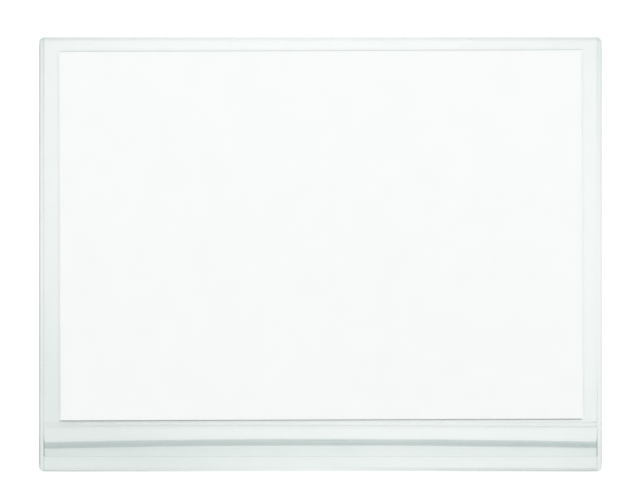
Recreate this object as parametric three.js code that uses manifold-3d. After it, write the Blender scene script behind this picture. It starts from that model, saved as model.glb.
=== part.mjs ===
// Self-adhesive display pocket for one landscape A4 sheet: two clear films welded along four ribbed
// seams, with a press lock under a flap at the lower edge and two adhesive strips on the back.
// Millimetres. The pocket lies on its back: X to the right, Y up the face, Z out of the face.

import * as THREE from "three";
import { mergeVertices } from "three/addons/utils/BufferGeometryUtils.js";
import Module from "manifold-3d";

// Insert sheet
const sheetWidth = 297;
const sheetHeight = 210;
const sheetThickness = 0.1;

// Face of the pocket, from the sheet outwards and then down to the lower edge
const sideMargin = 8.8;
const sideSeamWidth = 2.7;
const topMargin = 6.1;
const topSeamWidth = 1.7;
const sheetToWeld = 1.1;
const flapWeldWidth = 2.9;
const hingeGap = 0.4;
const flapLength = 16.4;
const lipToBottomSeam = 6.4;
const bottomSeamWidth = 2;
const cornerRadius = 2.6;

// Films and layers, from the back to the front
const linerThickness = 0.1;
const adhesiveThickness = 0.15;
const backFilm = 0.2;
const sillFilm = 0.2;
const windowFilm = 0.2;
const flapFilm = 0.2;
const sheetOverLock = 0.1;
const windowOverSheet = 0.1;
const bendFromSheet = 0.7;

// Weld ribs: one rib and one valley in each pitch
const ribPitch = 1.155;
const seamRibHeight = 0.1;
const flapRibHeight = 0.06;

// Press lock: ribs with swollen heads under the flap, grooves between barbed walls on the sill
const lockFromLip = 7.1;
const sillPastLock = 0.15;
const groovePitch = 1.5;
const grooveCount = 2;
const lockWeb = 0.1;
const wallHeight = 0.55;
const stemThickness = 0.3;
const barbWidth = 0.5;
const barbDrop = 0.12;
const barbThickness = 0.2;
const headSideClearance = 0.1;
const headTipClearance = 0.05;
const headWidestFromTip = 0.22;
const headLength = 0.3;
const headTipWidth = 0.2;
const crushedHeight = 0.12;
const lockBow = 1;
const lockSteps = 12;
const flapToSeam = 0.1;

// Adhesive strips behind the sheet and the release liners over them
const stripLength = 286;
const stripWidth = 18;
const stripFromSheetEdge = 6;
const stripCornerRadius = 1;
const linerOverhang = 0.5;
const linerTab = 5;

// Levels along Y
const width = sheetWidth + 2 * (sideMargin + sideSeamWidth);
const faceBelowSheet = sheetToWeld + flapWeldWidth + hingeGap + flapLength + lipToBottomSeam;
const height = topSeamWidth + topMargin + sheetHeight + faceBelowSheet + bottomSeamWidth;
const topEdge = height / 2;
const topSeamInside = topEdge - topSeamWidth;
const sheetTop = topSeamInside - topMargin;
const sheetBottom = sheetTop - sheetHeight;
const weldTop = sheetBottom - sheetToWeld;
const weldBottom = weldTop - flapWeldWidth;
const flapRoot = weldBottom - hingeGap;
const lipEdge = flapRoot - flapLength;
const lockMiddle = lipEdge + lockFromLip;
const lockHalf = (grooveCount * groovePitch + barbWidth) / 2;
const sillEdge = lockMiddle + lockHalf + lockBow + sillPastLock;
const bottomSeamInside = lipEdge - lipToBottomSeam;

// Levels along X, on the right-hand side
const seamInside = width / 2 - sideSeamWidth;
const windowBend = sheetWidth / 2 + bendFromSheet;
const flapEnd = seamInside - flapToSeam;

// Levels along Z
const adhesiveBack = linerThickness;
const backFilmBack = adhesiveBack + adhesiveThickness;
const backFilmFront = backFilmBack + backFilm;
const sillFront = backFilmFront + sillFilm;
const grooveFloor = sillFront + lockWeb;
const wallTop = grooveFloor + wallHeight;
const sheetBack = wallTop + sheetOverLock;
const windowBack = sheetBack + sheetThickness + windowOverSheet;
const windowFront = windowBack + windowFilm;

// The lock keeps its full height between the bends and is pressed down to a thin web at the seams.
const crush = crushedHeight / (windowFront - sillFront);

const wasm = await Module();
wasm.setup();

function solidOf(geometry) {
  const bare = geometry.clone();
  bare.deleteAttribute("normal");
  bare.deleteAttribute("uv");
  const merged = mergeVertices(bare, 1e-4);
  const vertProperties = merged.getAttribute("position").array;
  const triVerts = new Uint32Array(merged.index.array);
  return new wasm.Manifold(new wasm.Mesh({ numProp: 3, vertProperties, triVerts }));
}

function geometryOf(solid) {
  const { vertProperties, triVerts } = solid.getMesh();
  const indexed = new THREE.BufferGeometry();
  indexed.setAttribute("position", new THREE.BufferAttribute(vertProperties, 3));
  indexed.setIndex(new THREE.BufferAttribute(triVerts, 1));
  const geometry = indexed.toNonIndexed();
  geometry.computeVertexNormals();
  return geometry;
}

function roundedRectangle(xSize, ySize, radius) {
  const x = xSize / 2;
  const y = ySize / 2;
  const shape = new THREE.Shape();
  shape.absarc(x - radius, radius - y, radius, -Math.PI / 2, 0);
  shape.absarc(x - radius, y - radius, radius, 0, Math.PI / 2);
  shape.absarc(radius - x, y - radius, radius, Math.PI / 2, Math.PI);
  shape.absarc(radius - x, radius - y, radius, Math.PI, Math.PI * 1.5);
  return shape;
}

// A flat plate of the given outline, from one level to another.
function plate(shape, back, front) {
  const options = { depth: front - back, bevelEnabled: false, curveSegments: 4 };
  return new THREE.ExtrudeGeometry(shape, options).translate(0, 0, back);
}

function block(left, right, low, high, back, front) {
  const geometry = new THREE.BoxGeometry(right - left, high - low, front - back);
  return geometry.translate((left + right) / 2, (low + high) / 2, (back + front) / 2);
}

// A film of even thickness over four corners [x, y, z] of its back, counter-clockwise from the front.
function slopedFilm(corners, thickness) {
  const points = [...corners, ...corners.map(([x, y, z]) => [x, y, z + thickness])];
  const faces = [2, 1, 0, 3, 2, 0, 4, 5, 6, 4, 6, 7];
  for (let side = 0; side < 4; side++) {
    const next = (side + 1) % 4;
    faces.push(side, next, next + 4, side, next + 4, side + 4);
  }
  const indexed = new THREE.BufferGeometry();
  indexed.setAttribute("position", new THREE.Float32BufferAttribute(points.flat(), 3));
  indexed.setIndex(faces);
  const geometry = indexed.toNonIndexed();
  geometry.computeVertexNormals();
  return geometry;
}

// The mirror image of four film corners in the middle plane, still counter-clockwise from the front.
function mirrored(corners) {
  return corners.map(([x, y, z]) => [-x, y, z]).reverse();
}

// Section of a ribbed weld along its run: a flat back, and a zigzag front between two rib ends.
function ribbedSection(runStart, runEnd, ribStart, ribEnd, back, front, ribHeight) {
  const ribs = Math.round((ribEnd - ribStart) / ribPitch);
  const pitch = (ribEnd - ribStart) / ribs;
  const section = new THREE.Shape();
  section.moveTo(runStart, back);
  section.lineTo(runEnd, back);
  section.lineTo(runEnd, front);
  for (let rib = 0; rib < ribs; rib++) {
    const foot = ribEnd - rib * pitch;
    section.lineTo(foot, front);
    section.lineTo(foot - pitch / 2, front + ribHeight);
  }
  section.lineTo(ribStart, front);
  section.lineTo(runStart, front);
  return section;
}

// Sweeps a section of run and height along Y, so that the run lies along X.
function acrossY(section, low, high) {
  const options = { depth: high - low, bevelEnabled: false };
  return new THREE.ExtrudeGeometry(section, options).rotateX(Math.PI / 2).translate(0, high, 0);
}

// Sweeps a section of run and height along X, so that the run lies along Y.
function acrossX(section, left, right) {
  const options = { depth: right - left, bevelEnabled: false };
  const turn = new THREE.Matrix4().makeBasis(
    new THREE.Vector3(0, 1, 0),
    new THREE.Vector3(0, 0, 1),
    new THREE.Vector3(1, 0, 0),
  );
  return new THREE.ExtrudeGeometry(section, options).applyMatrix4(turn).translate(left, 0, 0);
}

// A side seam has the pocket's round corners, so it is a straight ribbed weld cut by the outline.
function sideSeam(side) {
  const ribEnd = topEdge - Math.max(cornerRadius, topSeamWidth, bottomSeamWidth);
  const section = ribbedSection(
    -topEdge, topEdge, -ribEnd, ribEnd, backFilmFront, backFilmFront + windowFilm, seamRibHeight,
  );
  const overcut = sideSeamWidth;
  const left = side < 0 ? -width / 2 - overcut : seamInside;
  const right = side < 0 ? -seamInside : width / 2 + overcut;
  const outline = plate(roundedRectangle(width, height, cornerRadius), 0, windowFront + windowFilm);
  return geometryOf(solidOf(acrossX(section, left, right)).intersect(solidOf(outline)));
}

function endSeam(low, high) {
  const section = ribbedSection(
    -seamInside, seamInside, -seamInside, seamInside,
    backFilmFront, backFilmFront + windowFilm, seamRibHeight,
  );
  return acrossY(section, low, high);
}

// The margin film drops from the bend beside the sheet to the inner edge of the side seam.
function sideMarginCorners() {
  return [
    [windowBend, weldBottom, windowBack],
    [seamInside, weldBottom, backFilmFront],
    [seamInside, topSeamInside, backFilmFront],
    [windowBend, sheetTop + bendFromSheet, windowBack],
  ];
}

function topMarginCorners() {
  return [
    [-windowBend, sheetTop + bendFromSheet, windowBack],
    [windowBend, sheetTop + bendFromSheet, windowBack],
    [seamInside, topSeamInside, backFilmFront],
    [-seamInside, topSeamInside, backFilmFront],
  ];
}

// The weld of the flap goes on down the side margin to the seam.
function weldEndCorners() {
  const seamFront = backFilmFront + windowFilm;
  return [
    [windowBend, weldBottom, windowFront],
    [seamInside, weldBottom, seamFront],
    [seamInside, weldTop, seamFront],
    [windowBend, weldTop, windowFront],
  ];
}

function flapEndCorners() {
  const crushedFront = sillFront + crushedHeight;
  return [
    [windowBend, lipEdge, windowFront],
    [flapEnd, lipEdge, crushedFront],
    [flapEnd, flapRoot, crushedFront],
    [windowBend, flapRoot, windowFront],
  ];
}

// Stations [x, bow, lift] along the lock: its middle bows up the face, and its ends are pressed down.
function lockStations() {
  const flat = Array.from({ length: lockSteps + 1 }, (_, step) => (2 * step / lockSteps - 1) * windowBend);
  return [-flapEnd, ...flat, flapEnd].map((x) => {
    const lift = Math.abs(x) > windowBend ? crush : 1;
    return [x, lockBow * (1 - (x / flapEnd) ** 2), lift];
  });
}

// Sweeps a section of [y, z] points along X between the side seams.
function lockStrip(section) {
  const outline = section.map(([y, z]) => new THREE.Vector2(y, z));
  if (THREE.ShapeUtils.isClockWise(outline)) outline.reverse();
  const stations = lockStations();
  const points = stations.flatMap(([x, bow, lift]) =>
    outline.flatMap(({ x: y, y: z }) => [x, y + bow, sillFront + lift * (z - sillFront)]),
  );
  const count = outline.length;
  const faces = [];
  for (let station = 0; station < stations.length - 1; station++) {
    for (let corner = 0; corner < count; corner++) {
      const here = station * count + corner;
      const next = station * count + ((corner + 1) % count);
      faces.push(here, next, next + count, here, next + count, here + count);
    }
  }
  const last = (stations.length - 1) * count;
  for (const [a, b, c] of THREE.ShapeUtils.triangulateShape(outline, [])) {
    faces.push(a, c, b, last + a, last + b, last + c);
  }
  const indexed = new THREE.BufferGeometry();
  indexed.setAttribute("position", new THREE.Float32BufferAttribute(points, 3));
  indexed.setIndex(faces);
  const geometry = indexed.toNonIndexed();
  geometry.computeVertexNormals();
  return geometry;
}

// Grooves lie between barbed walls, one wall more than there are grooves.
function grooveSection() {
  const section = [
    [lockMiddle - lockHalf, sillFront],
    [lockMiddle + lockHalf, sillFront],
    [lockMiddle + lockHalf, grooveFloor],
  ];
  for (let wall = grooveCount; wall >= 0; wall--) {
    const middle = lockMiddle + (wall - grooveCount / 2) * groovePitch;
    const stem = stemThickness / 2;
    const barb = barbWidth / 2;
    section.push(
      [middle + stem, grooveFloor],
      [middle + stem, wallTop - barbThickness],
      [middle + barb, wallTop - barbDrop],
      [middle + stem, wallTop],
      [middle - stem, wallTop],
      [middle - barb, wallTop - barbDrop],
      [middle - stem, wallTop - barbThickness],
      [middle - stem, grooveFloor],
    );
  }
  section.push([lockMiddle - lockHalf, grooveFloor]);
  return section;
}

// Each rib hangs in the middle of a groove, its head just narrow enough to pass the barbs.
function ribSection() {
  const webBack = windowFront - lockWeb;
  const tip = grooveFloor + headTipClearance;
  const head = (groovePitch - barbWidth) / 2 - headSideClearance;
  const stem = stemThickness / 2;
  const section = [
    [lockMiddle + lockHalf, webBack],
    [lockMiddle + lockHalf, windowFront],
    [lockMiddle - lockHalf, windowFront],
    [lockMiddle - lockHalf, webBack],
  ];
  for (let rib = 0; rib < grooveCount; rib++) {
    const middle = lockMiddle + (rib - (grooveCount - 1) / 2) * groovePitch;
    section.push(
      [middle - stem, webBack],
      [middle - stem, tip + headLength],
      [middle - head, tip + headWidestFromTip],
      [middle - headTipWidth / 2, tip],
      [middle + headTipWidth / 2, tip],
      [middle + head, tip + headWidestFromTip],
      [middle + stem, tip + headLength],
      [middle + stem, webBack],
    );
  }
  return section;
}

function adhesiveStrip(middle) {
  const shape = roundedRectangle(stripLength, stripWidth, stripCornerRadius);
  return plate(shape, adhesiveBack, backFilmBack).translate(0, middle, 0);
}

// The liner reaches past its strip all round, and by a tab at the right-hand end.
function releaseLiner(middle) {
  const length = stripLength + linerOverhang + linerTab;
  const shape = roundedRectangle(length, stripWidth + 2 * linerOverhang, stripCornerRadius);
  return plate(shape, 0, linerThickness).translate((linerTab - linerOverhang) / 2, middle, 0);
}

const pocket = new THREE.Group();

function add(name, geometry, color, roughness, opacity = 1) {
  const material = new THREE.MeshStandardMaterial({ color, roughness, metalness: 0 });
  material.opacity = opacity;
  material.transparent = opacity < 1;
  const mesh = new THREE.Mesh(geometry, material);
  mesh.name = name;
  pocket.add(mesh);
}

const clearFilm = ["#e4efeb", 0.15, 0.35];
const weldedFilm = ["#dbe7e3", 0.3, 0.5];
const lockPlastic = ["#c3d2ce", 0.25, 0.6];
const paper = ["#f9fbfa", 0.8];
const adhesive = ["#eef1e6", 0.5, 0.5];
const linerPaper = ["#f3efe2", 0.45];

// Back film and the sheet in the pocket
const outline = roundedRectangle(width, height, cornerRadius);
add("back_film", plate(outline, backFilmBack, backFilmFront), ...clearFilm);
const sheetHalf = sheetWidth / 2;
const sheetFront = sheetBack + sheetThickness;
const sheet = block(-sheetHalf, sheetHalf, sheetBottom, sheetTop, sheetBack, sheetFront);
add("insert_sheet", sheet, ...paper);

// Window film: a flat pane over the sheet and three margins that drop to the seams
const paneTop = sheetTop + bendFromSheet;
const pane = block(-windowBend, windowBend, weldBottom, paneTop, windowBack, windowFront);
add("window_film", pane, ...clearFilm);
const marginCorners = sideMarginCorners();
add("window_left_margin", slopedFilm(mirrored(marginCorners), windowFilm), ...clearFilm);
add("window_right_margin", slopedFilm(marginCorners, windowFilm), ...clearFilm);
add("window_top_margin", slopedFilm(topMarginCorners(), windowFilm), ...clearFilm);

// Four weld seams
add("left_seam", sideSeam(-1), ...weldedFilm);
add("right_seam", sideSeam(1), ...weldedFilm);
add("top_seam", endSeam(topSeamInside, topEdge), ...weldedFilm);
add("bottom_seam", endSeam(-topEdge, bottomSeamInside), ...weldedFilm);

// Sill film with the grooves of the press lock
const sill = block(-seamInside, seamInside, bottomSeamInside, sillEdge, backFilmFront, sillFront);
add("sill_film", sill, ...clearFilm);
add("groove_profile", lockStrip(grooveSection()), ...lockPlastic);

// Weld that holds the flap to the window film
const flapFront = windowFront + flapFilm;
const flapWeld = ribbedSection(
  -windowBend, windowBend, -windowBend, windowBend, windowFront, flapFront, flapRibHeight,
);
add("flap_weld", acrossY(flapWeld, weldBottom, weldTop), ...weldedFilm);
const weldCorners = weldEndCorners();
add("flap_weld_left_end", slopedFilm(mirrored(weldCorners), flapFilm), ...weldedFilm);
add("flap_weld_right_end", slopedFilm(weldCorners, flapFilm), ...weldedFilm);

// Closure flap with the ribs of the press lock
const flap = block(-windowBend, windowBend, lipEdge, flapRoot, windowFront, flapFront);
add("closure_flap", flap, ...clearFilm);
const flapCorners = flapEndCorners();
add("flap_left_end", slopedFilm(mirrored(flapCorners), flapFilm), ...clearFilm);
add("flap_right_end", slopedFilm(flapCorners, flapFilm), ...clearFilm);
add("rib_profile", lockStrip(ribSection()), ...lockPlastic);

// Adhesive strips and their liners
const upperStrip = sheetTop - stripFromSheetEdge - stripWidth / 2;
const lowerStrip = sheetBottom + stripFromSheetEdge + stripWidth / 2;
add("upper_adhesive", adhesiveStrip(upperStrip), ...adhesive);
add("lower_adhesive", adhesiveStrip(lowerStrip), ...adhesive);
add("upper_liner", releaseLiner(upperStrip), ...linerPaper);
add("lower_liner", releaseLiner(lowerStrip), ...linerPaper);

export default pocket;
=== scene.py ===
import math

import bpy
import numpy as np
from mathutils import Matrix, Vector


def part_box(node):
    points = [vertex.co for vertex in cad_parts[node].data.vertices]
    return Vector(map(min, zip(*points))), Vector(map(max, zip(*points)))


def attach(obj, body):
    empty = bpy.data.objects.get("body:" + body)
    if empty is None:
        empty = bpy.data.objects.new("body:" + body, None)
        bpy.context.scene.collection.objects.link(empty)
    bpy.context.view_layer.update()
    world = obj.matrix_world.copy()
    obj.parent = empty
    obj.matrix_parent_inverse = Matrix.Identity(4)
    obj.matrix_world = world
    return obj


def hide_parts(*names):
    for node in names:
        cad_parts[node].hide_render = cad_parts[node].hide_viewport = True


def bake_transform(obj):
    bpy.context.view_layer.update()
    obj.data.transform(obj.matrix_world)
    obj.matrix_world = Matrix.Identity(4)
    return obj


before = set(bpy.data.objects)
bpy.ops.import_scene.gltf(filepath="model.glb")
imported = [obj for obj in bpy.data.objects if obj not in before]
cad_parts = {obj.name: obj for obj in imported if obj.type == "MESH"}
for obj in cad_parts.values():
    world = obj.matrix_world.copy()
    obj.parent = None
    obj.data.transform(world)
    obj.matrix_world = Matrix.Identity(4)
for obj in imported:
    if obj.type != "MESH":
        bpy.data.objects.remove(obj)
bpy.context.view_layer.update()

# A clear pocket for one sheet of paper, seen from its front. The object is described in millimetres,
# with X to the right, Y up its face and Z out of it, and built in metres.
MM = 0.001
X, Y, Z = range(3)
LOW, HIGH = range(2)


def span(node):
    """The lowest and highest place of a solid along X, Y and Z."""
    low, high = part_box(node)
    return [(low[axis] / MM, high[axis] / MM) for axis in (X, Y, Z)]


# Places of the sheet, films, welds and lock, from the frame. The films bend at x = bend and x = -bend.
back, sheet, window = span("back_film"), span("insert_sheet"), span("window_film")
sill, flap, flap_weld = span("sill_film"), span("closure_flap"), span("flap_weld")
grooves, ribs, side_weld = span("groove_profile"), span("rib_profile"), span("right_seam")
half_width, half_height = back[X][HIGH], back[Y][HIGH]
film_front = back[Z][HIGH]
sheet_side = sheet[X][HIGH]
sheet_low, sheet_high = sheet[Y]
bend, window_top = window[X][HIGH], window[Y][HIGH]
window_back, window_front = window[Z]
seam_in = side_weld[X][LOW]
seam_height = side_weld[Z][HIGH] - film_front
top_seam_in = span("top_seam")[Y][LOW]
bottom_seam_in = span("bottom_seam")[Y][HIGH]
weld_low, weld_high = flap_weld[Y]
flap_low = flap[Y][LOW]
flap_back, flap_front = flap[Z]
flap_end = span("flap_right_end")[X][HIGH]
sill_edge, sill_front = sill[Y][HIGH], sill[Z][HIGH]
lock_end, rib_tip = ribs[X][HIGH], ribs[Z][LOW]
groove_low, groove_high = grooves[Y]
groove_top = grooves[Z][HIGH]

# Sizes of the films, welds and lock
GAP = 0.01  # between films that lie on each other
CORNER_RADIUS = 2.6
STRIP_CORNER_RADIUS = 1.0
RIB_PITCH = 1.155
RIB_SHIFT = 0.2  # of a pitch
RIB_HEIGHT = 0.1
FLAP_RIB_HEIGHT = 0.06
FLAP_WELD_THICKNESS = 0.2
FLAP_BEND = 1.2  # length of film under the weld that turns as the flap opens
FLAP_RIDGE, FLAP_CURL = 0.08, 0.12  # how far it is lifted over the lock, and at its free edge
GROOVE_PITCH = 1.5
LOCK_WEB = 0.1
STEM_HALF, BARB_HALF, HEAD_HALF = 0.15, 0.25, 0.38
HEAD_CLEARANCE = 0.05
LOCK_BOW = 1.0
LOCK_DROP = (0.9, 0.55)  # of its left and right end, below lock_middle
LOCK_END_HEIGHT = 0.12  # over the sill, where the side seams press the lock flat
LOCK_CRUSH = LOCK_END_HEIGHT / (window_front - sill_front)
lock_middle = (groove_low + groove_high - LOCK_BOW) / 2
lock_side = GROOVE_PITCH + BARB_HALF

# The sheet lies a little askew in the pocket, and isn't quite flat.
SHEET_TURN = math.radians(0.2)
SHEET_SHIFT = (0.3, 0.2)
SHEET_SLACK = 0.03


# Curves and waves


def rise(distance, length):
    """Rises straight from 0 at distance 0 to 1 at length."""
    return np.clip(distance / length, 0, 1)


def ease(t):
    """Falls from 1 at t = 0 to 0 at t = 1, straight with rounded ends."""
    t = np.clip(t, 0, 1)
    return 1 - (0.5 * t + 0.5 * t * t * (3 - 2 * t))


def bump(distance, width):
    """A smooth hump of height 1, and 0 beyond its width."""
    t = np.clip(1 - np.abs(distance) / width, 0, 1)
    return t * t * (3 - 2 * t)


def steps(*stretches):
    """Places along one direction: (start, end, largest step) for each stretch in turn."""
    places = [np.linspace(a, b, max(2, math.ceil(abs(b - a) / step) + 1)) for a, b, step in stretches]
    return np.concatenate([places[0]] + [p[1:] for p in places[1:]])


def corner_steps(radius, count):
    """How far places along a round corner lie from its outer end, closest where it turns away."""
    return radius * (1 - np.cos(np.linspace(0, math.pi / 2, count)))


def waves(x, y, count, length, seed):
    """Slow random waves over a film, between -1 and 1, no shorter than length."""
    rng = np.random.default_rng(seed)
    total = np.zeros(np.broadcast(x, y).shape)
    for _ in range(count):
        angle, phase = rng.uniform(0, math.tau, 2)
        size = length * rng.uniform(1, 3)
        total += np.sin((x * math.cos(angle) + y * math.sin(angle)) * math.tau / size + phase)
    return total / count


def height_share(x, end):
    """How much of its height a film keeps at x: all between the bends, and none at x = end."""
    return ease((np.abs(x) - bend) / (end - bend))


# Meshes


def finished(name, vertices, faces, material, marks, sharp=35):
    """The mesh object of one piece. marks is its painted shade at each vertex, kept as the attribute edge.

    Edges that turn by more than sharp degrees stay sharp.
    """
    mesh = bpy.data.meshes.new(name)
    mesh.from_pydata((np.asarray(vertices) * MM).tolist(), [], [list(map(int, f)) for f in faces])
    mesh.validate()
    mesh.shade_smooth()
    mesh.set_sharp_from_angle(angle=math.radians(sharp))
    # The attribute edge holds painted shade for shadows and bent light; at cut edges partly the plastic's
    # own density
    values = np.asarray(marks, np.float32)
    mesh.attributes.new("edge", "FLOAT", "POINT").data.foreach_set("value", values)
    mesh.materials.append(material)
    piece = bpy.data.objects.new(name, mesh)
    bpy.context.scene.collection.objects.link(piece)
    return piece


def shell(name, x, y, low, high, material, mark=0.0):
    """A closed film over a grid of places, between the heights low and high."""
    shape = x.shape
    low, high, mark = (np.broadcast_to(v, shape) for v in (low, high, mark))
    count = x.size
    index = np.arange(count).reshape(shape)
    vertices = np.vstack([
        np.stack([x, y, high], -1).reshape(-1, 3),
        np.stack([x, y, low], -1).reshape(-1, 3),
    ])
    corners = [index[:-1, :-1], index[:-1, 1:], index[1:, 1:], index[1:, :-1]]
    quads = np.stack(corners, -1).reshape(-1, 4)
    rim = np.concatenate([index[0, :], index[1:, -1], index[-1, -2::-1], index[-2:0:-1, 0]])
    following = np.roll(rim, -1)
    sides = np.stack([rim, rim + count, following + count, following], -1)
    faces = np.concatenate([quads, quads[:, ::-1] + count, sides])
    return finished(name, vertices, faces, material, np.tile(mark.reshape(-1), 2))


def sweep(name, section, marks, stations, material):
    """A closed section of (y, z) along X. Each station gives x, a shift along Y, a lift and its painted
    shade.

    The lift scales the section's height over the sill.
    """
    count = len(section)
    section = np.asarray(section, float)
    vertices, station_marks = [], []
    for x, shift, lift, dense in stations:
        z = sill_front + lift * (section[:, 1] - sill_front)
        vertices.append(np.stack([np.full(count, x), section[:, 0] + shift, z], -1))
        station_marks.append(np.asarray(marks) * dense)
    here = np.arange(count)
    following = (here + 1) % count
    faces = []
    for row in range(len(stations) - 1):
        a = row * count
        corners = [here + a, here + a + count, following + a + count, following + a]
        faces += np.stack(corners, -1).tolist()
    last = (len(stations) - 1) * count
    faces += [here.tolist(), (here[::-1] + last).tolist()]
    return finished(
        name, np.vstack(vertices), faces, material, np.concatenate(station_marks), sharp=50,
    )


# Materials


class Shader:
    """The nodes of one material or world. An input is a socket to link, or a plain value."""

    def __init__(self, owner):
        owner.use_nodes = True
        self.owner = owner
        self.tree = owner.node_tree
        self.tree.nodes.clear()

    def feed(self, socket, value):
        if isinstance(value, bpy.types.NodeSocket):
            self.tree.links.new(value, socket)
        else:
            socket.default_value = value

    def add(self, kind, inputs=None, **settings):
        node = self.tree.nodes.new("ShaderNode" + kind)
        for key, value in settings.items():
            setattr(node, key, value)
        for key, value in (inputs or {}).items():
            self.feed(node.inputs[key], value)
        return node

    def math(self, operation, a, b=0.0, clamp=False):
        return self.add("Math", {0: a, 1: b}, operation=operation, use_clamp=clamp).outputs[0]

    def plus(self, a, b):
        return self.math("ADD", a, b)

    def times(self, a, b):
        return self.math("MULTIPLY", a, b)

    def larger(self, a, b):
        return self.math("MAXIMUM", a, b)

    def ramp(self, value, low, high, start=0.0, end=1.0):
        inputs = {"Value": value, "From Min": low, "From Max": high, "To Min": start, "To Max": end}
        return self.add("MapRange", inputs).outputs["Result"]

    def spread(self, noise, start=0.0, end=1.0):
        """Brings the values that most of a noise takes to the range from start to end."""
        return self.ramp(noise, 0.3, 0.7, start, end)

    def mix(self, share, a, b):
        """A colour between a and b. The node's colour sockets come after those of other kinds."""
        node = self.add("Mix", data_type="RGBA")
        for place, value in ((0, share), (6, a), (7, b)):
            self.feed(node.inputs[place], value)
        return node.outputs[2]

    def mix_shaders(self, share, a, b):
        return self.add("MixShader", {0: share, 1: a, 2: b}).outputs[0]

    def place(self, scale=(1, 1, 1)):
        """Object coordinates in millimetres, stretched by scale."""
        source = self.add("TexCoord").outputs["Object"]
        factors = [1 / MM * s for s in scale]
        return self.add("Mapping", {"Vector": source, "Scale": factors}).outputs[0]

    def noise(self, place, scale, detail):
        return self.add("TexNoise", {"Vector": place, "Scale": scale, "Detail": detail}).outputs["Fac"]

    def relief(self, height, strength, depth):
        """A normal from a height, with its depth in millimetres."""
        inputs = {"Strength": strength, "Distance": depth * MM, "Height": height}
        return self.add("Bump", inputs).outputs[0]

    def finish(self, surface):
        self.add("OutputMaterial", {"Surface": surface})
        return self.owner


# What a face of the films lets through at its darkest, where it is steep and under painted shade, and the
# white it scatters
DENSE_AND_SHADED = (0.57, 0.62, 0.61)
FILM_WHITE = (0.9, 0.91, 0.905, 1)


def clear_plastic(name, tint, dense=DENSE_AND_SHADED, haze=0.015, mirror=0.03, gloss=(0.02, 0.07), streaks=None):
    """Glossy see-through film.

    tint is what one face lets through, and dense what it lets through where it is steep and where
    the attribute edge marks painted shade. haze is the share of light that it scatters. mirror is how
    much a face throws back seen straight, which is less where films cling to each other. gloss is its
    range of roughness. streaks stretches the fine marks that run along a drawn profile.
    """
    s = Shader(bpy.data.materials.new(name))
    place = s.place()
    # edge is the piece's painted shade
    edge = s.add("Attribute", attribute_name="edge").outputs["Fac"]
    facing = s.add("LayerWeight", {"Blend": 0.5}).outputs["Facing"]
    steep = s.ramp(facing, 0.2, 0.85, end=0.5)
    cloud = s.spread(s.noise(place, scale=0.035, detail=3.0), end=0.007)
    share = s.math("ADD", s.plus(edge, steep), cloud, clamp=True)
    clear = s.add("BsdfTransparent", {"Color": s.mix(share, (*tint, 1), (*dense, 1))}).outputs[0]
    ripple = s.noise(place, scale=0.05, detail=1.5)
    grain = s.noise(place, scale=1.7, detail=2.0)
    height = s.plus(ripple, s.times(grain, 0.004))
    if streaks:
        drawn = s.noise(s.place(streaks), scale=1.0, detail=3.0)
        height = s.plus(height, s.times(drawn, 0.03))
    normal = s.relief(height, strength=0.5, depth=0.04)
    body = s.add("BsdfDiffuse", {"Color": FILM_WHITE, "Normal": normal}).outputs[0]
    film = s.mix_shaders(s.plus(s.times(share, haze), haze), clear, body)
    smudge = s.spread(s.noise(place, scale=0.11, detail=3.0), *gloss)
    shine = s.add("BsdfGlossy", {"Roughness": smudge, "Normal": normal}).outputs[0]
    grazing = s.times(s.math("POWER", facing, 5.0), 1 - mirror)
    return s.finish(s.mix_shaders(s.plus(grazing, mirror), film, shine))


def paper():
    """Smooth white office paper with faint fibres."""
    s = Shader(bpy.data.materials.new("paper"))
    fibre = s.noise(s.place((0.6, 1.6, 1)), scale=1.4, detail=6.0)
    cloud = s.noise(s.place(), scale=0.12, detail=4.0)
    color = s.mix(s.spread(cloud), (0.925, 0.935, 0.93, 1), (0.94, 0.948, 0.943, 1))
    normal = s.relief(s.plus(fibre, s.times(cloud, 0.6)), strength=0.25, depth=0.04)
    rough = s.spread(fibre, 0.62, 0.78)
    inputs = {"Base Color": color, "Roughness": rough, "Normal": normal, "Specular IOR Level": 0.3}
    return s.finish(s.add("BsdfPrincipled", inputs).outputs[0])


def waxed_paper():
    """Cream release paper with a slight shine and soft creases."""
    s = Shader(bpy.data.materials.new("waxed_paper"))
    mottle = s.noise(s.place(), scale=0.35, detail=5.0)
    crease = s.noise(s.place((0.04, 0.15, 1)), scale=1.0, detail=2.0)
    color = s.mix(s.spread(mottle), (0.86, 0.84, 0.74, 1), (0.93, 0.92, 0.85, 1))
    normal = s.relief(s.plus(s.times(mottle, 0.3), crease), strength=0.4, depth=0.3)
    rough = s.spread(mottle, 0.28, 0.42)
    inputs = {"Base Color": color, "Roughness": rough, "Normal": normal}
    return s.finish(s.add("BsdfPrincipled", inputs).outputs[0])


def tacky():
    """Clear acrylic adhesive with small air bubbles."""
    s = Shader(bpy.data.materials.new("clear_adhesive"))
    place = s.place()
    cells = s.add("TexVoronoi", {"Vector": place, "Scale": 0.9}).outputs["Distance"]
    bubble = s.ramp(cells, 0.12, 0.2, 1.0, 0.0)
    cloud = s.noise(place, scale=0.2, detail=4.0)
    color = s.mix(bubble, (0.9, 0.92, 0.86, 1), (0.97, 0.97, 0.95, 1))
    normal = s.relief(bubble, strength=0.4, depth=0.1)
    rough = s.spread(cloud, 0.25, 0.4)
    body = s.add("BsdfPrincipled", {"Base Color": color, "Roughness": rough, "Normal": normal}).outputs[0]
    clear = s.add("BsdfTransparent", {"Color": (0.95, 0.96, 0.92, 1)}).outputs[0]
    share = s.plus(s.times(bubble, 0.15), s.spread(cloud, 0.2, 0.32))
    return s.finish(s.mix_shaders(share, clear, body))


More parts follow.
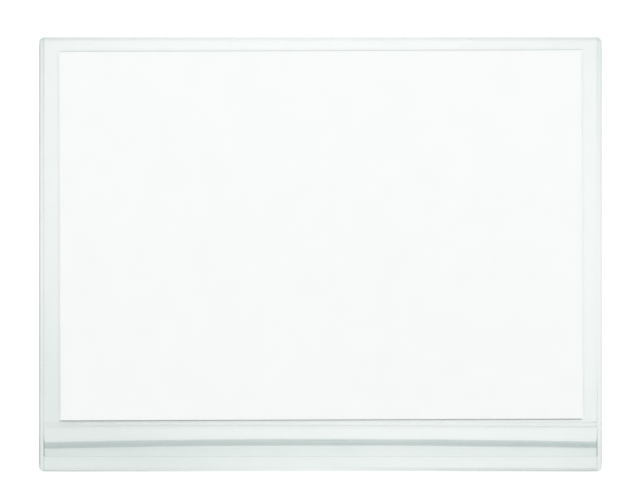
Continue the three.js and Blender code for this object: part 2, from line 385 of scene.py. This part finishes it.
back_plastic = clear_plastic("back_plastic", (0.969, 0.974, 0.9725))
front_plastic = clear_plastic("front_plastic", (0.997, 0.998, 0.998), mirror=0.003)
flap_plastic = clear_plastic("flap_plastic", (0.995, 0.998, 0.997), haze=0.008, mirror=0.006)
sill_plastic = clear_plastic("sill_plastic", (0.989, 0.994, 0.993), haze=0.01, mirror=0.009)
weld_plastic = clear_plastic("weld_plastic", (0.997, 0.999, 0.999), mirror=0.006, gloss=(0.05, 0.14))
lock_plastic = clear_plastic(
    "lock_plastic", (0.988, 0.993, 0.992), dense=(0.885, 0.905, 0.91), haze=0.01, mirror=0.008,
    streaks=(0.02, 4, 4),
)
paper_white = paper()
liner_paper = waxed_paper()
adhesive = tacky()


# Outline of the pocket, and painted shade along its cut edge, partly the edge's own denser plastic

# How dark the painted shade along the left, right, top and lower cut edges is, and its width
LEFT_RIM, RIGHT_RIM, TOP_RIM, LOWER_RIM = 0.6, 0.3, 0.12, 0.3
RIM_WIDTH = 0.5
PLATE_CORNER_ROWS = 9
PLATE_STEP = 4
PLATE_CORNER_SHARE = 0.999  # of the radius, which makes the corners slightly tighter


def reach(y, x_half, y_half, radius):
    """Half the width at y of a rectangle with round corners."""
    inside = np.clip(np.abs(y) - (y_half - radius), 0, radius)
    return x_half - radius + np.sqrt(np.maximum(radius**2 - inside**2, 0))


def rounded_plate(name, space, radius, material, columns, mark_of=None):
    """A film with round corners that fills three spans. columns runs from -1 to 1 across it.

    mark_of gives its painted shade from x, y and half the width there.
    """
    (x_low, x_high), (y_low, y_high), (low, high) = space
    x_half, y_half = (x_high - x_low) / 2, (y_high - y_low) / 2
    corner = corner_steps(radius, PLATE_CORNER_ROWS)
    inner = steps((radius - y_half, y_half - radius, PLATE_STEP))
    rows = np.concatenate([-y_half + corner, inner[1:-1], y_half - corner[::-1]])
    across, y = np.meshgrid(columns, rows)
    wide = reach(y, x_half, y_half, radius * PLATE_CORNER_SHARE)
    x = np.clip(across * x_half, -wide, wide)
    mark = 0.0 if mark_of is None else mark_of(x, y, wide)
    return shell(name, x + (x_low + x_high) / 2, y + (y_low + y_high) / 2, low, high, material, mark)


def side_rim_share(y):
    """How dark a side edge's painted shade is at y: most beside the flap, and least in the round corners."""
    beside_flap = 1 + 0.4 * rise(weld_high - y, 15)
    return beside_flap * np.maximum(rise(half_height - np.abs(y), 5), 0.15)


def lower_rim_share(x):
    """How dark the lower edge's painted shade is at x: none in its middle, and more towards both ends."""
    return rise(np.abs(x) - 60, 80)


def rim_line(x, y, wide):
    """Painted shade along the cut edge of the back film, most at the left, partly the edge's own denser
    plastic.
    """
    side = bump(wide - np.abs(x), RIM_WIDTH) * np.where(x < 0, LEFT_RIM, RIGHT_RIM) * side_rim_share(y)
    end = np.where(y > 0, TOP_RIM, LOWER_RIM * lower_rim_share(x))
    return np.maximum(side, bump(half_height - np.abs(y), RIM_WIDTH) * end)


def back_film():
    """The back film, the whole outline."""
    rim_in = half_width - 1
    columns = steps((-half_width, -rim_in, 0.2), (-rim_in, rim_in, 6), (rim_in, half_width, 0.2))
    piece = rounded_plate(
        "film_back", back, CORNER_RADIUS, back_plastic, columns / half_width, rim_line,
    )
    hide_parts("back_film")
    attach(piece, "pocket")


back_film()


# Window film: flat over the sheet, down over rounded bends to the seams

WINDOW_SWELL = 0.12
WINDOW_CORNER = 5  # the higher this power, the less round the bends meet at the upper corners
# How dark the painted shadow lines along the sheet's lower and upper edges are
LOWER_SHADOW_LINE, UPPER_SHADOW_LINE = 0.85, 0.27


def window_film():
    """The window film with its three margins, in one piece.

    It carries painted shadow lines along the sheet's lower and upper edges.
    """
    columns = steps(
        (-seam_in, -bend, 0.4), (-bend, -bend + 2, 0.25), (-bend + 2, bend - 2, 2.5),
        (bend - 2, bend, 0.25), (bend, seam_in, 0.4),
    )
    rows = steps(
        (weld_low, sheet_low + 1.5, 0.15), (sheet_low + 1.5, sheet_high - 2, 2.5),
        (sheet_high - 2, top_seam_in, 0.15),
    )
    x, y = np.meshgrid(columns, rows)
    side = rise(np.abs(x) - bend, seam_in - bend)
    top = rise(y - window_top, top_seam_in - window_top)
    fall = ease((side**WINDOW_CORNER + top**WINDOW_CORNER) ** (1 / WINDOW_CORNER))
    swell = WINDOW_SWELL * (0.5 + 0.5 * waves(x, y, count=9, length=70, seed=3)) * rise(y - sheet_low, 20)
    lowest = film_front + GAP
    low = lowest + fall * (window_back - lowest + swell)
    from_sheet = y - SHEET_SHIFT[Y] - x * math.tan(SHEET_TURN)
    lower_shadow_line = LOWER_SHADOW_LINE * bump(from_sheet - sheet_low + 0.1, 0.3)
    upper_shadow_line = UPPER_SHADOW_LINE * bump(from_sheet - sheet_high + 0.15, 0.35)
    # crease is the sum of both painted shadow lines, over the sheet's width
    crease = (lower_shadow_line + upper_shadow_line) * (np.abs(x) < sheet_side)
    high = low + window_front - window_back
    piece = shell("film_window", x, y, low, high, front_plastic, crease)
    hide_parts("window_film", "window_left_margin", "window_right_margin", "window_top_margin")
    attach(piece, "pocket")


window_film()


# Weld seams with their ribs. Across a seam, places run from 0 at its inner border to 1 at the cut edge.

SIDE_ACROSS = [0, 0.04, 0.09, 0.14, 0.2, 0.3, 0.5, 0.7, 0.82, 0.89, 0.93, 0.97, 1]
END_ACROSS = [0, 0.05, 0.1, 0.18, 0.26, 0.4, 0.6, 0.78, 0.87, 0.92, 0.96, 1]
RIB_STEPS = 8  # in each pitch
SEAM_CORNER_ROWS = 10
RIBS_FROM, RIBS_TO = 0.05, 0.99
RIB_UNEVENNESS = 0.12
BEAD_PLACE, BEAD_HEIGHT = 0.06, 0.05
DROP_FROM, EDGE_DROP = 0.93, 0.12
# Place of the painted shade along each seam's cut edge, and how dark it is on each seam
RIM_PLACE = 0.95
LEFT_SEAM_RIM, RIGHT_SEAM_RIM, TOP_SEAM_RIM, LOWER_SEAM_RIM = 0.45, 0.22, 0.1, 0.5
SEAM_CORNER_SHARE = 0.99  # of the radius, as for the plates


def rib_wave(run, start, pitch):
    """Rounded ribs between 0 and 1, one in each pitch."""
    wave = 0.5 - 0.5 * np.cos(math.tau * ((run - start) / pitch - RIB_SHIFT))
    return wave**0.8


def rib_run(length):
    """The pitch that fits a whole number of ribs in a length."""
    return length / round(length / RIB_PITCH)


def rib_places(half):
    """Places over the ribs of a seam that runs from -half to half."""
    return np.arange(-half, half + 1e-6, rib_run(2 * half) / RIB_STEPS)


def seam_heights(run, across, half, middle, ends, spread, rim, seed):
    """Height over the back film, and painted shade, of a ribbed weld that runs from -half to half.

    Its valleys carry painted shade for the light its ribs bend, less in its middle. middle and ends are
    how dark it is there and towards its two ends, from spread onwards, and rim along the cut edge.
    """
    uneven = 1 + RIB_UNEVENNESS * waves(run, 0, count=7, length=25, seed=seed)
    painted_rib_shade = middle + (np.where(run < 0, *ends) - middle) * rise(np.abs(run), spread)
    wave = rib_wave(run, -half, rib_run(2 * half)) * (np.abs(run) < half)
    band = np.minimum(rise(across - RIBS_FROM, 0.12), rise(RIBS_TO - across, 0.1))
    bead = BEAD_HEIGHT * bump(across - BEAD_PLACE, 0.12)
    drop = EDGE_DROP * rise(across - DROP_FROM, 0.07) ** 2
    height = seam_height - RIB_HEIGHT - GAP + RIB_HEIGHT * wave * band * uneven + bead - drop
    mark = painted_rib_shade * (1 - wave) * band * uneven + rim * bump(across - RIM_PLACE, 0.12)
    return height, mark


def seam(name, node, x, y, height, mark):
    """A weld over the back film, from its grid of places and heights."""
    low = film_front + GAP
    piece = shell(name, x, y, low, low + height, weld_plastic, mark)
    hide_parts(node)
    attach(piece, "pocket")


def inner_line(y, side):
    """The painted shade along the inner border of a side seam: most where the flap and the lock end in it.
    """
    along = 0.13 if side < 0 else 0.14 * rise(-50 - y, 30)
    above = 0.14 * rise(y - 60, 40)
    beside_flap = 0.1 * rise(weld_high - y, 4)
    beside_lip = (0.35 if side < 0 else 0.5) * rise(sill_edge + 2 - y, 2) * rise(y - flap_low, 0.5)
    return along + above + beside_flap + beside_lip


def side_seam(name, node, side):
    """A ribbed weld along Y, with the round outer corners of the pocket. side is -1 or 1."""
    half = half_height - CORNER_RADIUS
    corner = corner_steps(CORNER_RADIUS, SEAM_CORNER_ROWS)
    rows = [-half_height + corner[:-1], rib_places(half), half_height - corner[-2::-1]]
    across, y = np.meshgrid(SIDE_ACROSS, np.concatenate(rows))
    wide = reach(y, half_width, half_height, CORNER_RADIUS * SEAM_CORNER_SHARE)
    x = seam_in + across * (wide - seam_in)
    rim = (LEFT_SEAM_RIM if side < 0 else RIGHT_SEAM_RIM) * side_rim_share(y)
    height, mark = seam_heights(
        y, across, half, middle=0.01, ends=(0.03, 0.17), spread=half, rim=rim, seed=11 + side,
    )
    mark = mark + inner_line(y, side) * bump(across - BEAD_PLACE, 0.1)
    if side < 0:
        x, y, height, mark = (v[:, ::-1] for v in (-x, y, height, mark))
    seam(name, node, x, y, height, mark)


def end_seam(name, node, inner, outer, middle, ends, spread, rim, seed):
    """A ribbed weld along X, between the side seams. rim gives the painted shade of its cut edge at x."""
    x, across = np.meshgrid(rib_places(seam_in), END_ACROSS)
    y = inner + across * (outer - inner)
    height, mark = seam_heights(x, across, seam_in, middle, ends, spread, rim(x), seed)
    if outer < inner:
        x, y, height, mark = (v[::-1] for v in (x, y, height, mark))
    seam(name, node, x, y, height, mark)


side_seam("weld_left", "left_seam", -1)
side_seam("weld_right", "right_seam", 1)
end_seam(
    "weld_top", "top_seam", top_seam_in, half_height,
    middle=0.15, ends=(0.26, 0.26), spread=seam_in, rim=lambda x: TOP_SEAM_RIM, seed=21,
)
end_seam(
    "weld_bottom", "bottom_seam", bottom_seam_in, -half_height,
    middle=0.01, ends=(0.11, 0.32), spread=80, rim=lambda x: LOWER_SEAM_RIM * lower_rim_share(x), seed=22,
)


# Sill film and the press lock

LOCK_MARK = 0.3  # how dark the painted shade is at its darkest points
LOCK_WAVER = 0.12


def press(x):
    """How far the lock keeps its height at x: whole between the bends, flattened at the seams."""
    return LOCK_CRUSH + (1 - LOCK_CRUSH) * height_share(x, flap_end)


def bow(x):
    """The lock bows up the face between the seams, with a slight waver."""
    waver = LOCK_WAVER * waves(x, 0, count=5, length=60, seed=5) * rise(bend - np.abs(x), 20)
    drop = np.where(x < 0, *LOCK_DROP)
    return LOCK_BOW - (LOCK_BOW + drop) * (x / lock_end) ** 2 + waver


def lock_painted_shade(x):
    """How dark the lock's painted shade is at x: least halfway to its ends, and most at the right end."""
    left = 0.18 * rise(-x - 70, 50)
    right = 0.6 * rise(x - 40, 90)
    return 0.82 + 0.18 * bump(x, 60) + left + right


def sill_film():
    """The lower front film, whose free edge follows the bow of the lock."""
    rows = steps(
        (bottom_seam_in, bottom_seam_in + 1.5, 0.2), (bottom_seam_in + 1.5, sill_edge - 1, 1.2),
        (sill_edge - 1, sill_edge, 0.2),
    )
    x, y = np.meshgrid(steps((-seam_in, seam_in, 3)), rows)
    # Painted shade along the sill's free edge
    mark = 0.1 * bump(y - sill_edge, 0.35)
    y = y + (bow(x) - LOCK_BOW) * (y - bottom_seam_in) / (sill_edge - bottom_seam_in)
    piece = shell(
        "film_sill", x, y, film_front + GAP, sill_front - GAP, sill_plastic, mark,
    )
    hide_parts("sill_film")
    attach(piece, "pocket")


def groove_section():
    """Three barbed walls on a web. A point is (y from the lock's middle, z, its painted shade)."""
    web, top = sill_front + LOCK_WEB, groove_top
    foot = sill_front + GAP
    points = [(-lock_side, foot, 0.05), (lock_side, foot, 0.05), (lock_side, web, 0.05)]
    wall = [
        (STEM_HALF, web, 0.2), (STEM_HALF, top - 0.2, 1), (BARB_HALF, top - 0.12, 1),
        (0.21, top - 0.05, 0.8), (0.13, top - 0.01, 0.4), (0, top, 0.1),
    ]
    # Painted shade on each wall, for the light that the walls bend
    for place, dense in ((1, 0.5), (0, 0.4), (-1, 0.7)):
        middle = place * GROOVE_PITCH
        points += [(middle + y, z, mark * dense) for y, z, mark in wall]
        points += [(middle - y, z, mark * dense) for y, z, mark in wall[-2::-1]]
    points.append((-lock_side, web, 0.05))
    return points


def rib_section():
    """Two ribs with swollen heads under a web. A point is as in the section of the grooves."""
    web, front = window_front - LOCK_WEB, window_front - GAP
    tip = max(rib_tip, sill_front + LOCK_WEB + HEAD_CLEARANCE)
    points = [
        (lock_side, web, 0.05), (lock_side, front, 0.05), (-lock_side, front, 0.05), (-lock_side, web, 0.05),
    ]
    rib = [
        (STEM_HALF, web, 0.3), (STEM_HALF, tip + 0.34, 1), (0.22, tip + 0.29, 1), (HEAD_HALF, tip + 0.24, 1),
        (HEAD_HALF, tip + 0.19, 1), (0.25, tip + 0.07, 0.7), (0.1, tip, 0.3),
    ]
    # Painted shade on each rib, for the light that the ribs bend
    for place, dense in ((-0.5, 1.0), (0.5, 0.6)):
        middle = place * GROOVE_PITCH
        points += [(middle - y, z, mark * dense) for y, z, mark in rib]
        points += [(middle + y, z, mark * dense) for y, z, mark in rib[::-1]]
    return points


def lock_half(name, node, body, points):
    """One half of the press lock, swept along the bow, with its section turned so that faces look out."""
    outline = [(lock_middle + y, z) for y, z, _ in points]
    marks = [mark * LOCK_MARK for _, _, mark in points]
    area = sum(a[0] * b[1] - b[0] * a[1] for a, b in zip(outline, outline[1:] + outline[:1]))
    if area > 0:
        outline.reverse()
        marks.reverse()
    x = steps((-lock_end, -bend, 0.5), (-bend, bend, 2.5), (bend, lock_end, 0.5))
    stations = list(zip(x, bow(x), press(x), lock_painted_shade(x)))
    piece = sweep(name, outline, marks, stations, lock_plastic)
    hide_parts(node)
    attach(piece, body)


sill_film()
lock_half("lock_grooves", "groove_profile", "pocket", groove_section())
lock_half("lock_ribs", "rib_profile", "flap", rib_section())


# Flap and the ribbed weld that holds it to the window


def lock_lines(x, from_middle):
    """Painted shade lines where the ribs under the flap bend light, stronger towards its right end."""
    marks = 0 * x
    for place, strength, seed in ((-1.1, 0.24, 61), (0.1, 0.25, 62), (1.25, 0.1, 63)):
        drift = 0.22 * waves(x, 0, count=4, length=70, seed=seed)
        fade = 0.6 + 0.4 * waves(x, 0, count=4, length=50, seed=seed + 10) + 0.3 * rise(x - 60, 40)
        marks += strength * np.clip(fade, 0, 1) * bump(from_middle - place - drift, 0.45)
    return marks * (np.abs(x) < lock_end)


def over_margin(x, low, end_low, end):
    """The underside of a film that lies flat between the bends and goes down to end_low at x = end."""
    return end_low + (low - end_low) * height_share(x, end)


def weld_under_sheet():
    """The ribbed weld under the sheet.

    Its ribs stand up, with painted shade in their valleys, at its left end and in one patch. A bowed
    line of painted shade runs along it, and painted shade marks its upper border towards the right.
    """
    pitch = rib_run(2 * bend)
    columns = steps((-seam_in, -bend, 0.4), (-bend, bend, pitch / 6), (bend, seam_in, 0.4))
    x, y = np.meshgrid(columns, steps((weld_low, weld_high, 0.2)))
    share = (y - weld_low) / (weld_high - weld_low)
    ribbed = np.abs(x) < bend
    left_end = 0.8 * np.clip(1 - (bend + x) / 18, 0, 1)
    patch = 0.5 * bump(x + 0.69 * bend, 4)
    visible = (0.06 + left_end + patch) * ribbed
    band = np.minimum(rise(share - 0.08, 0.15), rise(0.92 - share, 0.15))
    wave = rib_wave(x, -bend, pitch) * ribbed
    low = over_margin(x, window_front, sill_front, seam_in) + GAP
    high = low + FLAP_WELD_THICKNESS - GAP + FLAP_RIB_HEIGHT * wave * band * visible
    along = x / bend
    line = bump(share - 0.32 + 0.13 * along + 0.1 * along**2, 0.11) * rise(x + bend, 20)
    upper = bump(share - 0.97, 0.1) * np.clip((x - 90) / 20, 0.2, 1) * (1 + 0.6 * (x > bend))
    mark = 0.1 * (1 - wave) * band * visible + 0.25 * line + 0.22 * upper
    piece = shell("weld_flap", x, y, low, high, weld_plastic, mark)
    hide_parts("flap_weld", "flap_weld_left_end", "flap_weld_right_end")
    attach(piece, "pocket")


def flap_film():
    """The closure flap. It stands a little higher over the lock, and its free lip curls up a little."""
    columns = steps(
        (-flap_end, -flap_end + 1, 0.1), (-flap_end + 1, -bend, 0.4), (-bend, bend, 3),
        (bend, flap_end - 1, 0.4), (flap_end - 1, flap_end, 0.1),
    )
    bend_end = weld_low - FLAP_BEND
    rows = steps(
        (flap_low, flap_low + 1.2, 0.1), (flap_low + 1.2, groove_low - 3, 1),
        (groove_low - 3, groove_high + 2, 0.25), (groove_high + 2, bend_end, 1), (bend_end, weld_low, 0.1),
    )
    x, y = np.meshgrid(columns, rows)
    share = height_share(x, flap_end)
    from_middle = y - lock_middle - bow(x)
    from_lock = np.abs(from_middle) - (groove_high - groove_low - LOCK_BOW) / 2
    ridge = FLAP_RIDGE * ease(from_lock / 1.5) * share
    curl = FLAP_CURL * np.clip(1 - (y - flap_low) / 5, 0, 1) ** 2 * share
    crushed = sill_front + LOCK_CRUSH * (window_front - sill_front)
    low = over_margin(x, flap_back, crushed, flap_end) + GAP + curl + ridge
    high = low + flap_front - flap_back - GAP
    # Painted shade at the flap's free ends and along its lip, where their cut edges cast shadow
    end_mark = 0.5 * bump(flap_end - np.abs(x), 0.35) * rise(sill_edge - y, 0.6)
    lip_mark = 0.12 * bump(y - flap_low, 0.4)
    mark = np.maximum(end_mark, lip_mark) + lock_lines(x, from_middle)
    piece = shell("film_flap", x, y, low, high, flap_plastic, mark)
    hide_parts("closure_flap", "flap_left_end", "flap_right_end")
    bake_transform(piece)


weld_under_sheet()
flap_film()


# Sheet, adhesive strips and release liners


def insert_sheet():
    """The sheet, turned and shifted a little, with slow waves."""
    x, y = np.meshgrid(steps((*sheet[X], 4)), steps((*sheet[Y], 4)))
    slack = SHEET_SLACK * waves(x, y, count=6, length=90, seed=41)
    middle = (sheet_low + sheet_high) / 2
    cos, sin = math.cos(SHEET_TURN), math.sin(SHEET_TURN)
    turned_x = x * cos - (y - middle) * sin + SHEET_SHIFT[X]
    turned_y = x * sin + (y - middle) * cos + SHEET_SHIFT[Y] + middle
    low, high = (level + slack for level in sheet[Z])
    piece = shell("sheet_insert", turned_x, turned_y, low, high, paper_white)
    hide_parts("insert_sheet")
    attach(piece, "sheet")


def strip_layer(name, node, material, body):
    """An adhesive strip or a release liner, a little thinner than its solid."""
    x_span, y_span, (low, high) = span(node)
    columns = steps((-1, -0.985, 0.005), (-0.985, 0.985, 0.02), (0.985, 1, 0.005))
    space = x_span, y_span, (low + GAP, high - GAP)
    piece = rounded_plate(name, space, STRIP_CORNER_RADIUS, material, columns)
    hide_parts(node)
    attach(piece, body)


insert_sheet()
for level in ("upper", "lower"):
    strip_layer(f"adhesive_{level}", f"{level}_adhesive", adhesive, "pocket")
    strip_layer(f"liner_{level}", f"{level}_liner", liner_paper, f"{level}_liner")


# Floor, light and camera

# Painted pool of light on the floor: an oval round its brightest place, falling with the cube of the
# distance
POOL_MIDDLE = (20 * MM, 38 * MM, 0)
POOL_TURN = math.radians(33)
POOL_STRETCH = (0.9, 1.1, 1)
POOL_TOP, POOL_REST, POOL_FALL = 0.388, 0.23, 16.0
POOL_WHITE, PAINTED_SHADE_GREEN = (1, 1, 1, 1), (0.88, 1, 0.96, 1)
FLOOR_GREY = (0.78, 0.78, 0.78, 1)
FLOOR_SIZE = 8
FLOOR_DROP = 0.02 * MM

# How bright the parts of the room are
PANEL_LEVEL, CEILING_LEVEL, WALL_LEVEL = 0.75, 0.45, 0.8

KEY_SIZE = (0.9, 0.65)
KEY_POWER = 48
KEY_PLACE = Vector((0.15, 1.1, 3.0))

CAMERA_LENS, CAMERA_SENSOR = 100, 36
CAMERA_PLACE = (-0.28 * MM, 1.56 * MM, 1.0124)


def floor_material():
    """White sweep that takes the object's shadow.

    To the camera, and in and through the films, it shows a painted pool of white light,
    and painted pale green shade beyond.
    """
    s = Shader(bpy.data.materials.new("white_sweep"))
    rays = s.add("LightPath")
    seen = s.larger(rays.outputs["Is Camera Ray"], rays.outputs["Is Glossy Ray"])
    seen = s.larger(seen, rays.outputs["Is Transmission Ray"])
    lit = s.add("BsdfDiffuse", {"Color": FLOOR_GREY}).outputs[0]
    place = s.add("TexCoord").outputs["Object"]
    away = s.add("VectorMath", {0: place, 1: POOL_MIDDLE}, operation="SUBTRACT").outputs["Vector"]
    away = s.add("Mapping", {"Vector": away, "Rotation": (0, 0, POOL_TURN)}).outputs[0]
    away = s.add("VectorMath", {0: away, 1: POOL_STRETCH}, operation="MULTIPLY").outputs["Vector"]
    away = s.add("VectorMath", {0: away}, operation="LENGTH").outputs["Value"]
    fall = s.times(s.math("POWER", away, 3.0), POOL_FALL)
    pool = s.larger(s.math("SUBTRACT", POOL_TOP, fall), POOL_REST)
    # White where the painted pool of light is strongest, painted green shade where it has faded
    hue = s.mix(s.ramp(pool, 0.24, 0.4), PAINTED_SHADE_GREEN, POOL_WHITE)
    glow = s.add("Emission", {"Color": hue, "Strength": s.times(seen, pool)}).outputs[0]
    return s.finish(s.add("AddShader", {0: lit, 1: glow}).outputs[0])


def sweep_floor():
    """The pale floor, just under the object."""
    bpy.ops.mesh.primitive_plane_add(size=FLOOR_SIZE, location=(0, 0, -FLOOR_DROP))
    floor = bpy.context.object
    floor.name = "floor"
    floor.data.materials.append(floor_material())


def studio():
    """A pale room with a soft overhead panel, which the films reflect, and a duller ceiling round it."""
    world = bpy.data.worlds.new("studio")
    bpy.context.scene.world = world
    s = Shader(world)
    way = s.add("SeparateXYZ", {0: s.add("TexCoord").outputs["Generated"]})
    up = way.outputs["Z"]
    # The sine of a direction's angle to straight up
    tilt = s.math("SQRT", s.math("SUBTRACT", 1.0, s.times(up, up)))
    panel = s.ramp(tilt, 0.2, 0.32, PANEL_LEVEL, 0.0)
    room = s.ramp(tilt, 0.4, 0.8, CEILING_LEVEL, WALL_LEVEL)
    seen = s.add("LightPath").outputs["Is Camera Ray"]
    strength = s.larger(seen, s.larger(panel, room))
    background = s.add("Background", {"Color": (1, 1, 1, 1), "Strength": strength}).outputs[0]
    s.add("OutputWorld", {"Surface": background})


def key_light():
    """A large soft lamp over the upper end of the pocket, which the films don't mirror."""
    key = bpy.data.lights.new("key", "AREA")
    key.shape = "RECTANGLE"
    key.size, key.size_y = KEY_SIZE
    key.energy = KEY_POWER
    lamp = bpy.data.objects.new("key", key)
    lamp.location = KEY_PLACE
    lamp.rotation_euler = (-KEY_PLACE).to_track_quat("-Z", "Y").to_euler()
    lamp.visible_glossy = False
    bpy.context.scene.collection.objects.link(lamp)


def straight_camera():
    """A camera straight over the face of the pocket."""
    camera = bpy.data.cameras.new("camera")
    camera.lens = CAMERA_LENS
    camera.sensor_width = CAMERA_SENSOR
    camera.clip_start = 0.05
    holder = bpy.data.objects.new("camera", camera)
    holder.location = CAMERA_PLACE
    bpy.context.scene.collection.objects.link(holder)
    bpy.context.scene.camera = holder


sweep_floor()
studio()
key_light()
straight_camera()

bpy.context.scene.view_settings.view_transform = "Standard"
bpy.context.scene.cycles.transparent_max_bounces = 32
